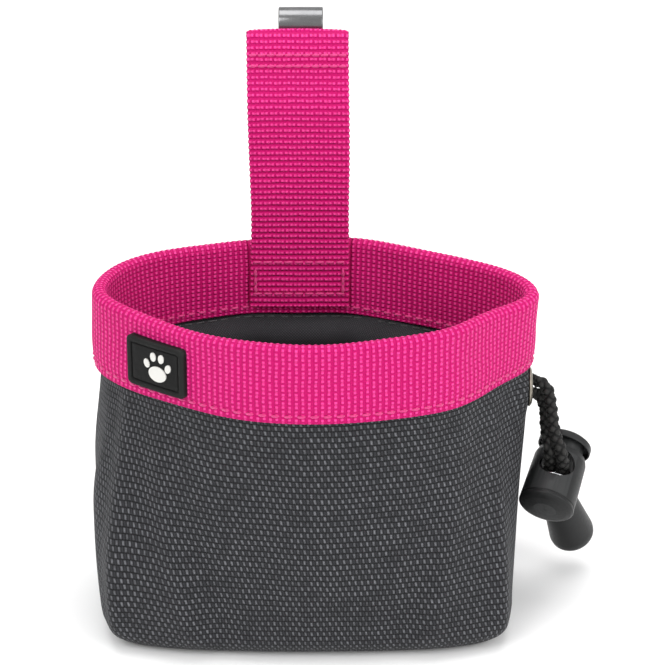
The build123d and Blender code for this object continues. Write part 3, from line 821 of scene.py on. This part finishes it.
def rim_flare(x, rise):
    """How far the band leans out near its right end, at a height above its lower edge."""
    return 1.1 * smooth(36, 51, x) * (rise / BAND_HIGH - 0.45)


def band_row(height, offset, relief):
    """One row of the band: its height, its distance out from the middle line and its rib depth."""
    out = offset + relief * (rib_high - 0.6) * (1 if offset >= 0 else -1)
    out = out + rim_wave(band_s, height) + rim_flare(rib_p[:, 0], height - RIM_BOTTOM)
    z = height + top_wave * smooth(RIM_BOTTOM + 6, RIM_TOP, height)
    xy = rib_p + rib_n * out[:, None]
    return np.column_stack([xy, z]) + MOUTH


BAND_STEP = 0.62
BAND_RELIEF = 0.09
TOP_RELIEF = 0.16
band_rows, band_v = [], []
outer_up = np.concatenate([
    [RIM_BOTTOM], RIM_BOTTOM + np.array([0.12, 0.35, 0.7]),
    np.arange(RIM_BOTTOM + 1.2, FOLD_Z - 0.4, BAND_STEP),
])
for h in outer_up:
    puff = 0.28 * bump(h, RIM_BOTTOM + 5.5, 5.0) - 0.2 * bump(h, RIM_BOTTOM + 2.0, 0.7)
    start = min(1.0, (h - RIM_BOTTOM) / 0.35)
    offset = BAND_HALF - 0.35 + 0.35 * start**0.5 + puff
    band_rows.append(band_row(h, offset, BAND_RELIEF * start))
    band_v.append(h - RIM_BOTTOM)
for ang in np.linspace(0, math.pi, 12):
    band_rows.append(band_row(FOLD_Z + BAND_HALF * math.sin(ang), BAND_HALF * math.cos(ang), 0.0))
    lift = TOP_RELIEF * (rib_high - 0.6)
    band_rows[-1][:, :2] += rib_n * (lift * math.cos(ang))[:, None]
    band_rows[-1][:, 2] += lift * math.sin(ang)
    band_v.append(FOLD_Z - RIM_BOTTOM + BAND_HALF * ang)
inner_down = np.concatenate([
    np.arange(FOLD_Z - 0.6, RIM_BOTTOM + 1.0, -BAND_STEP), [RIM_BOTTOM + 0.6, RIM_BOTTOM + 0.2],
])
for h in inner_down:
    band_rows.append(band_row(h, -BAND_HALF - 0.15 * bump(h, 70, 6), BAND_RELIEF))
    band_v.append(band_v[-1] + BAND_STEP)
band_uv = sheet_uv(np.arange(len(band_s) + 1) / per_rib * RIB, band_v)
band = grid("webbing_rim", np.array(band_rows), band_uv, wrap=True)
finish_piece(band, PINK, "pouch", "pink_webbing", "rim_band")

# Stitches along the band's lower edge, outside and inside
STITCH_UP = 2.0
STITCH_WAVE_Z = 62.4


def rim_stitching(name, material, slot, out, height, pitch, long, thick, side, *nodes):
    """Stitches round the rim. out(s, p) is their distance from its middle line, side 1 faces out and -1 in."""
    count = int(RIM_LONG / pitch)
    s = (np.arange(count) + 0.5) * RIM_LONG / count
    p, n = rim_at(s)
    place = np.column_stack([p + n * np.reshape(out(s, p), (-1, 1)), np.full(count, height)]) + MOUTH
    along = np.column_stack([-n[:, 1], n[:, 0], np.zeros(count)])
    row = stitch_row(name, place, along, np.column_stack([n * side, np.zeros(count)]), long, thick)
    finish_piece(row, material, "pouch", slot, *nodes)


for name, side, gap, node in (
    ("rim_stitches", 1, 0.05, "band_stitching"),
    ("rim_stitches_inner", -1, 0.0, "band_stitching_inner"),
):
    def on_band(s, p, out=side * (BAND_HALF + gap - 0.02)):
        return out + rim_flare(p[:, 0], STITCH_UP) + rim_wave(s, STITCH_WAVE_Z)

    rim_stitching(
        name, PINK_THREAD, "pink_thread", on_band, RIM_BOTTOM + STITCH_UP, 2.9, 2.0, 0.32, side, node,
    )

# ---- drawcord channel inside the wall
CHANNEL_STEPS = 720
chan_s = np.arange(CHANNEL_STEPS) * RIM_LONG / CHANNEL_STEPS
chan_p, chan_n = rim_at(chan_s)
pucker = 0.22 * np.sin(chan_s / 1.9) + 0.15 * np.sin(chan_s / 3.7 + 2)
chan_rows, chan_v = [], []
CHANNEL_LINE = (
    (49.0, 1.1), (49.3, 1.6), (50.2, 1.9), (51.0, 3.2), (52.0, 4.9), (53.4, 5.9),
    (55.0, 6.2), (56.6, 6.0), (58.0, 5.0), (59.0, 3.3), (59.7, 2.2), (60.3, 1.9),
)
for k, (h, inset) in enumerate(CHANNEL_LINE):
    amount = pucker * (1.0 if 49.5 < h < 59.9 else 0.3)
    xy = chan_p + chan_n * (-(inset + amount))[:, None]
    chan_rows.append(np.column_stack([xy, h + 0.15 * np.sin(chan_s / 5.0 + k)]) + MOUTH)
    chan_v.append(k * 1.5)
chan_uv = sheet_uv(np.arange(CHANNEL_STEPS + 1) * RIM_LONG / CHANNEL_STEPS, chan_v)
channel = grid("drawcord_channel", np.array(chan_rows)[:, ::-1], chan_uv, wrap=True)
finish_piece(channel, LINING, "pouch", "grey_fabric", "drawcord_casing")
for name, h, inset in (("channel_stitches_low", 49.9, 1.95), ("channel_stitches_high", 59.9, 2.05)):
    rim_stitching(name, BLACK_THREAD, "seam_tape", lambda s, p: -inset, h, 3.2, 2.4, 0.2, -1)

loop_s = np.linspace(0.03, 0.965, 160) * RIM_LONG
loop_p, loop_n = rim_at(loop_s)
CORD_HIGH, CORD_LOW = EYELET_Z + CORD_SIDE, EYELET_Z - CORD_SIDE
loop_line = np.column_stack([loop_p - loop_n * 3.4, np.linspace(CORD_HIGH, CORD_LOW, 160)]) + MOUTH
loop_line = np.vstack([
    MOUTH + (53.5, 0, CORD_HIGH), MOUTH + (48.6, 0.6, CORD_HIGH), loop_line,
    MOUTH + (48.6, -0.6, CORD_LOW), MOUTH + (53.5, 0, CORD_LOW),
])
loop = tube("braided_loop", loop_line, CORD_R, around=16, step=0.4, relief=braid)
finish_piece(loop, CORD, "pouch", "black_cord", "drawcord_loop")

# ---- inner seam bindings
def tape(name, centres, outward, deep, thick, node):
    """A folded binding tape standing on a seam: centres run along the seam."""
    centres, outward = np.asarray(centres, float), np.asarray(outward, float)
    side = np.cross(directions(centres), outward)
    section = [
        (-0.5, 0.0), (-0.5, 0.35), (-0.48, 0.7), (-0.4, 0.92), (-0.2, 1.0),
        (0.2, 1.0), (0.4, 0.92), (0.48, 0.7), (0.5, 0.35), (0.5, 0.0),
    ]
    n = len(centres)
    ripple = 0.35 * np.sin(np.arange(n) * 0.35) + 0.2 * np.sin(np.arange(n) * 0.81)
    rows = []
    for mid, out, across, sway in zip(centres, outward, side, ripple):
        rows.append([mid + out * b * deep + across * (a * thick + sway * b) for a, b in section])
    uv = sheet_uv(np.linspace(0, 2 * deep + thick, len(section)), run_along(centres))
    piece = grid(name, np.array(rows), uv)
    finish_piece(piece, TAPE, "pouch", "seam_tape", node)


for side, name in ((-1, "side_seam_left"), (1, "side_seam_right")):
    h = np.linspace(8.6, 48.6, 60)
    col = int(round((12.3 if side < 0 else 0.0) * PER_SPAN)) % len(T)
    centres = np.array([ring_points(z, FABRIC)[col] for z in h])
    outward = np.tile([-side * 1.0, 0.0, 0.0], (len(h), 1))
    tape(f"{name}_tape", centres, outward, 5.0, 1.3, name)
for side, name in ((-1, "corner_seam_left"), (1, "corner_seam_right")):
    y = np.linspace(-30.0, 8.0, 50)
    x = (-2.0 + side * (43.5 + 1.2 * np.sin((y + 11) / 19.0 * 1.5 + math.pi / 2)))
    centres = np.column_stack([x, y, np.full(len(y), 1.3)]) + MOUTH
    outward = np.tile(unit((-side * 0.8, 0, 0.6)), (len(y), 1))
    tape(f"{name}_tape", centres, outward, 4.2, 1.2, name)

# ---- eyelet
eye = MOUTH + (EYELET_X, 0, EYELET_Z)
eyelet_profile = rounded([
    (3.25, -2.6), (3.25, 0.55), (3.6, 0.9), (4.3, 0.88), (5.0, 0.35), (4.95, 0.02), (3.75, 0.0), (3.6, -2.6),
], 0.3)
eyelet = lathe("rolled_eyelet", eyelet_profile, eye, (1, 0, 0), 80, 50, closed=True)
finish_piece(eyelet, NICKEL, "pouch", "nickel", "eyelet")
washer_profile = rounded([(3.65, -2.9), (4.35, -2.85), (4.4, -2.4), (3.65, -2.3)], 0.2)
washer = lathe("eyelet_back", washer_profile, eye, (1, 0, 0), 64, 50, closed=True)
finish_piece(washer, NICKEL, "pouch", "nickel", "eyelet_washer")

# ---- label patch with its border
label_s = RIM_S[np.argmin(np.hypot(RIM_P[:, 0] + 35.7, RIM_P[:, 1] + 19.9))]


LABEL_AROUND = 96


def label_ring(inset, count=LABEL_AROUND):
    """The label's outline, drawn in by an inset."""
    w, h, r = 8.5 - inset, 6.2 - inset, max(1.1 - inset * 0.6, 0.35)
    w, h = max(w, 0.02), max(h, 0.02)
    r = min(r, w, h)
    ring = []
    for k in range(count):
        ang = 2 * math.pi * (k + 0.5) / count
        c, s = math.cos(ang), math.sin(ang)
        scale = 1.0 / max(abs(c) / w, abs(s) / h)
        x, y = c * scale, s * scale
        ax, ay = abs(x) - (w - r), abs(y) - (h - r)
        if ax > 0 and ay > 0:
            q = math.hypot(ax, ay)
            x = math.copysign(w - r + ax / q * r, x)
            y = math.copysign(h - r + ay / q * r, y)
        ring.append((x, y))
    return np.array(ring)


# Each step of the label from its edge to its middle: the inset, and the height over the band
levels = [
    (0.0, -0.4), (0.0, 0.9), (0.08, 1.25), (0.3, 1.48), (0.65, 1.56), (1.15, 1.5), (1.4, 1.36), (1.48, 1.08),
    (1.72, 1.08), (1.8, 1.28), (2.1, 1.33), (3.2, 1.33), (4.5, 1.33), (5.6, 1.33), (6.15, 1.33),
]
rows = []
for inset, high in levels:
    ring = label_ring(inset)
    p, n = rim_at(label_s + ring[:, 0])
    rows.append(np.column_stack([p + n * (BAND_HALF + high), LABEL_Z + ring[:, 1]]) + MOUTH)
label = grid("label_rubber_patch", np.array(rows), wrap=True, caps=(False, True), sharp=60)
finish_piece(label, RUBBER, "pouch", "label_rubber", "label_patch")
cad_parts["label_emblem"].data.materials.clear()
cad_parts["label_emblem"].data.materials.append(PRINT)

# ---- belt strap, one folded piece of webbing
STRAP_X = -4.4
STRAP_Y = 33.2
STRAP_W = 25.0
STRAP_ACROSS = 51
THICK = 1.4
strap_origin = MOUTH + (STRAP_X, STRAP_Y, FOLD_Z)
# The strap's middle line seen from the side, (y, z) from strap_origin
run_points = [
    (-2.65, -15.0), (-2.75, -8.0), (-2.75, 0.0), (-2.7, 9.0), (-2.5, 20.0), (-2.15, 33.0), (-1.6, 38.0),
    (0.6, 44.0), (3.2, 50.0), (4.35, 52.7), (4.9, 53.6), (5.9, 54.1), (6.9, 53.6), (7.3, 52.6), (6.8, 47.0),
    (5.6, 38.0), (4.6, 31.0), (3.6, 20.0), (2.75, 8.0), (2.7, 0.0), (2.7, -8.0), (2.65, -15.0),
]


def open_spline(points, per=16):
    p = np.asarray(points, float)
    ext = np.vstack([2 * p[0] - p[1], p, 2 * p[-1] - p[-2]])
    out = []
    for i in range(1, len(ext) - 2):
        for u in np.arange(per) / per:
            a, b, c, d = ext[i - 1], ext[i], ext[i + 1], ext[i + 2]
            square, cube = 2 * a - 5 * b + 4 * c - d, 3 * b - a - 3 * c + d
            out.append(0.5 * (2 * b + (c - a) * u + square * u**2 + cube * u**3))
    out.append(p[-1])
    return np.array(out)


line2 = open_spline(run_points)
line3, strap_run = resample(np.column_stack([line2, np.zeros(len(line2))]), RIB / 6)
norm2 = -turned_right(directions(line3[:, :2]))
half = STRAP_W / 2
ring_cols = [(w, 1) for w in np.linspace(-half, half, STRAP_ACROSS)]
ring_cols += [(w, -1) for w in np.linspace(half, -half, STRAP_ACROSS)]
srows = []
for i in range(len(line3)):
    s = strap_run[i]
    rib = 0.5 + 0.5 * math.cos(2 * math.pi * s / RIB)
    scallop = 0.22 * (rib - 0.5)
    sway = 0.25 * math.sin(s / 16.0)
    taper = 0.35 * math.exp(-((line3[i, 1] - 8.0) / 14.0) ** 2)
    width = half + scallop - taper
    cols = []
    for w, face in ring_cols:
        q = w / half
        round_edge = (1 - abs(q) ** 14) ** 0.5 if abs(q) < 1 else 0.0
        ripple = 0.10 * math.cos(2 * math.pi * w / DOT + (math.pi if int(s / RIB + 0.5) % 2 else 0))
        t = (THICK / 2 - 0.12) * (0.35 + 0.65 * round_edge) + (0.14 * (rib - 0.5) + ripple * rib) * round_edge
        cup = 0.35 * (q * q - 0.4) * smooth(0, 20, line3[i, 1])
        off = face * t + cup * (1 if line3[i, 0] < 5.9 and s < strap_run[-1] / 2 else -1)
        y = line3[i, 0] + norm2[i, 0] * off
        z = line3[i, 1] + norm2[i, 1] * off
        cols.append(strap_origin + (q * width + sway, y, z))
    srows.append(cols)
w_run = np.array([w * face for w, face in ring_cols] + [ring_cols[0][0]])
strap_uv = sheet_uv(w_run, strap_run)[..., ::-1]
strap = grid("webbing_strap", np.array(srows), strap_uv, wrap=True, caps=(True, True), sharp=70)
finish_piece(strap, PINK, "strap", "pink_webbing", "belt_strap", "strap_tail_inner", "strap_tail_outer", riding=False)
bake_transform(strap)

TAIL_OUT = 3.42
for side, name, node in (
    (-1, "tail_stitches_inner", "tail_stitching_inner"),
    (1, "tail_stitches_outer", "tail_stitching_outer"),
):
    seams = [(x, z, (1.0, 0, 0)) for z in (-3.0, -11.5) for x in np.arange(-10.5, 10.6, 2.6)]
    seams += [(x, z, (0, 0, 1.0)) for x in (-11.0, 11.0) for z in np.arange(-10.2, -3.9, 2.1)]
    places = np.array([strap_origin + (x, side * TAIL_OUT, z) for x, z, _ in seams])
    facing = np.tile([0, float(side), 0], (len(seams), 1))
    row = stitch_row(name, places, np.array([d for _, _, d in seams]), facing, 2.1, 0.32)
    finish_piece(row, PINK_THREAD, "pouch", "pink_thread", node)

# Double thread rows under the fold at the top
for name, zz, y in (("strap_top_stitches", 49.4, 2.25), ("strap_top_stitches_low", 46.9, 1.15)):
    x = np.arange(-11.2, 11.3, 2.2)
    places = np.array([strap_origin + (v, y - 0.72, zz) for v in x])
    facing = unit((0, -0.93, 0.36))
    row = stitch_row(name, places, np.tile([1.0, 0, 0], (len(x), 1)), np.tile(facing, (len(x), 1)), 1.9, 0.3)
    finish_piece(row, PINK_THREAD, "strap", "pink_thread")

# ---- belt clip, one bent strip
CLIP_X = -3.9
CLIP_W = 11.0
CLIP_THICK = 0.9
BEND_R = 3.6
# The part of the strap that the clip's leg lies against: its lower and upper end as (y, z)
REST_LOW, REST_HIGH = np.array([4.6, 31.0]), np.array([7.4, 52.9])
rest_y, rest_z = REST_HIGH - REST_LOW
slope = math.atan2(rest_y, rest_z)
off = THICK / 2 + CLIP_THICK / 2 + 0.02


def leg_point(h):
    """The leg's middle line at a height."""
    y = REST_LOW[0] + rest_y * (h - REST_LOW[1]) / rest_z
    return np.array([y + off * math.cos(slope), h - off * math.sin(slope)])


leg_low, leg_top = leg_point(33.0), leg_point(55.0)
slant = np.array([math.cos(slope), -math.sin(slope)])
bend_mid = leg_top + slant * BEND_R
line = [leg_low + (leg_top - leg_low) * t for t in np.linspace(0, 1, 24)]
for deg in np.linspace(180, 0, 40)[1:]:
    a = math.radians(deg) - slope
    line.append(bend_mid + BEND_R * np.array([math.cos(a), math.sin(a)]))
arm_top = line[-1]
pinch, tip = np.array([6.4, 19.0]), np.array([9.6, 12.0])
for t in np.linspace(0, 0.88, 30)[1:]:
    line.append(arm_top + (pinch - arm_top) * t)
a0, a1, a2 = line[-1], pinch, pinch + (tip - pinch) * 0.55
for t in np.linspace(0, 1, 12)[1:]:
    line.append((1 - t) ** 2 * a0 + 2 * t * (1 - t) * a1 + t * t * a2)
line.append(tip)
clip_line, clip_run = resample(np.column_stack([np.array(line), np.zeros(len(line))]), 0.5)
cnorm = -turned_right(directions(clip_line[:, :2]))
section = []
hw, ht, cr = CLIP_W / 2, CLIP_THICK / 2, 0.3
corners = ((hw - cr, ht - cr, 0), (-hw + cr, ht - cr, 90), (-hw + cr, -ht + cr, 180), (hw - cr, -ht + cr, 270))
for cx, cz, a_start in corners:
    for k in range(5):
        a = math.radians(a_start + 90 * k / 4)
        section.append((cx + cr * math.cos(a), cz + cr * math.sin(a)))
clip_origin = MOUTH + (CLIP_X, STRAP_Y, FOLD_Z)
crow = []
total = clip_run[-1]
for i in range(len(clip_line)):
    end = min(clip_run[i], total - clip_run[i])
    narrow = 1.0 if end > 2.0 else math.sqrt(max(0.0, 1 - (1 - end / 2.0) ** 2)) * 0.35 + 0.65
    (mid_y, mid_z), (ny, nz) = clip_line[i, :2], cnorm[i]
    crow.append([clip_origin + (x * narrow, mid_y + ny * z, mid_z + nz * z) for x, z in section])
clip = grid("spring_clip", np.array(crow), wrap=True, caps=(True, True), sharp=50)
finish_piece(clip, STEEL, "strap", "spring_steel", "belt_clip_leg", "belt_clip_arm", riding=False)
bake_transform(clip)
for node in ("clip_rivets", "rivet_washers"):
    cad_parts[node].data.materials.clear()
    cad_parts[node].data.materials.append(STEEL)

# ---- cord lock
HOLE_LONG, HOLE_SHORT = 8.8, 7.2
BUTTON_HOLE_LONG, BUTTON_HOLE_SHORT = 8.2, 6.0
barrel_profile = rounded([
    (0.001, 0.0), (3.0, 0.08), (5.3, 0.34), (6.4, 0.72), (6.9, 1.2), (6.9, 1.75), (6.68, 1.9), (6.68, 2.2),
    (6.86, 2.35), (6.5, 14.3), (6.0, 15.8), (5.2, 15.8), (5.2, 1.4), (0.001, 1.4),
], 0.16)
barrel = lathe("lock_barrel", barrel_profile, lock_foot, lock_axis, 128, 35)
cut_slot(barrel, lock_centre, across_axis, lock_axis, HOLE_LONG, HOLE_SHORT)
soften(barrel, 0.25)
finish_piece(barrel, PLASTIC, "drawstring", "black_plastic", "cord_lock_barrel")

plunger_profile = rounded([
    (0.001, 9.0), (4.9, 9.0), (4.9, 19.2), (6.15, 19.2), (6.15, 17.9), (6.6, 17.9), (6.6, 19.5), (6.0, 20.0),
    (0.001, 20.0),
], 0.22)
plunger = lathe("lock_button", plunger_profile, lock_foot, lock_axis, 128, 35)
button_hole = lock_centre + lock_axis * 0.9
cut_slot(plunger, button_hole, across_axis, lock_axis, BUTTON_HOLE_LONG, BUTTON_HOLE_SHORT)
soften(plunger, 0.2)
finish_piece(plunger, PLASTIC, "plunger", "black_plastic", "cord_lock_plunger")

COIL_TURNS = 4.5
COIL_PITCH = 1.5
COIL_RADIUS = 4.5
turns = np.linspace(0, COIL_TURNS, 260)[:, None]
round_turn = 2 * math.pi * turns
coil_foot = lock_foot + lock_axis * 1.78
circle = across_axis * np.cos(round_turn) + np.cross(lock_axis, across_axis) * np.sin(round_turn)
coil = coil_foot + lock_axis * (COIL_PITCH * turns) + circle * COIL_RADIUS
spring = tube("lock_spring_wire", coil, 0.34, around=14, step=0.25)
finish_piece(spring, CHROME, "drawstring", "chrome_wire", "cord_lock_spring")
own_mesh(spring)

# ---- cord end bell and knot
bell_profile = rounded([
    (3.2, 0.25), (3.45, 0.0), (3.75, 0.05), (3.95, 0.5), (5.35, 13.6), (5.65, 16.2), (5.5, 17.6), (4.9, 18.6),
    (3.9, 19.0), (3.45, 18.8), (3.4, 10.2), (3.2, 8.6),
], 0.5)
bell = lathe("cord_bell", bell_profile, bell_top, bell_axis, 96, 60, closed=True)
finish_piece(bell, PLASTIC, "drawstring", "black_plastic", "cord_end_bell")
KNOT_DEEP = 12.6
knot_turn = np.linspace(0, 2 * math.pi, 90)[:, None]
circle = across_axis * np.cos(2 * knot_turn) + np.cross(bell_axis, across_axis) * np.sin(2 * knot_turn)
knot_line = bell_top + bell_axis * (KNOT_DEEP + 1.9 * np.sin(3 * knot_turn))
knot_line = knot_line + circle * (1.55 + 0.35 * np.cos(3 * knot_turn))
knot = tube("cord_end_knot", knot_line, 1.05, around=20, step=0.2, relief=lambda a, s: 0.5 * braid(a, s))
finish_piece(knot, CORD, "drawstring", "black_cord", "cord_knot")

for name, (piece, path, long) in cords.items():
    start = tuple(path[0] * 0.001)

for node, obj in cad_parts.items():
    if not obj.hide_render:
        obj.data.shade_smooth()
        obj.data.set_sharp_from_angle(angle=math.radians(30))
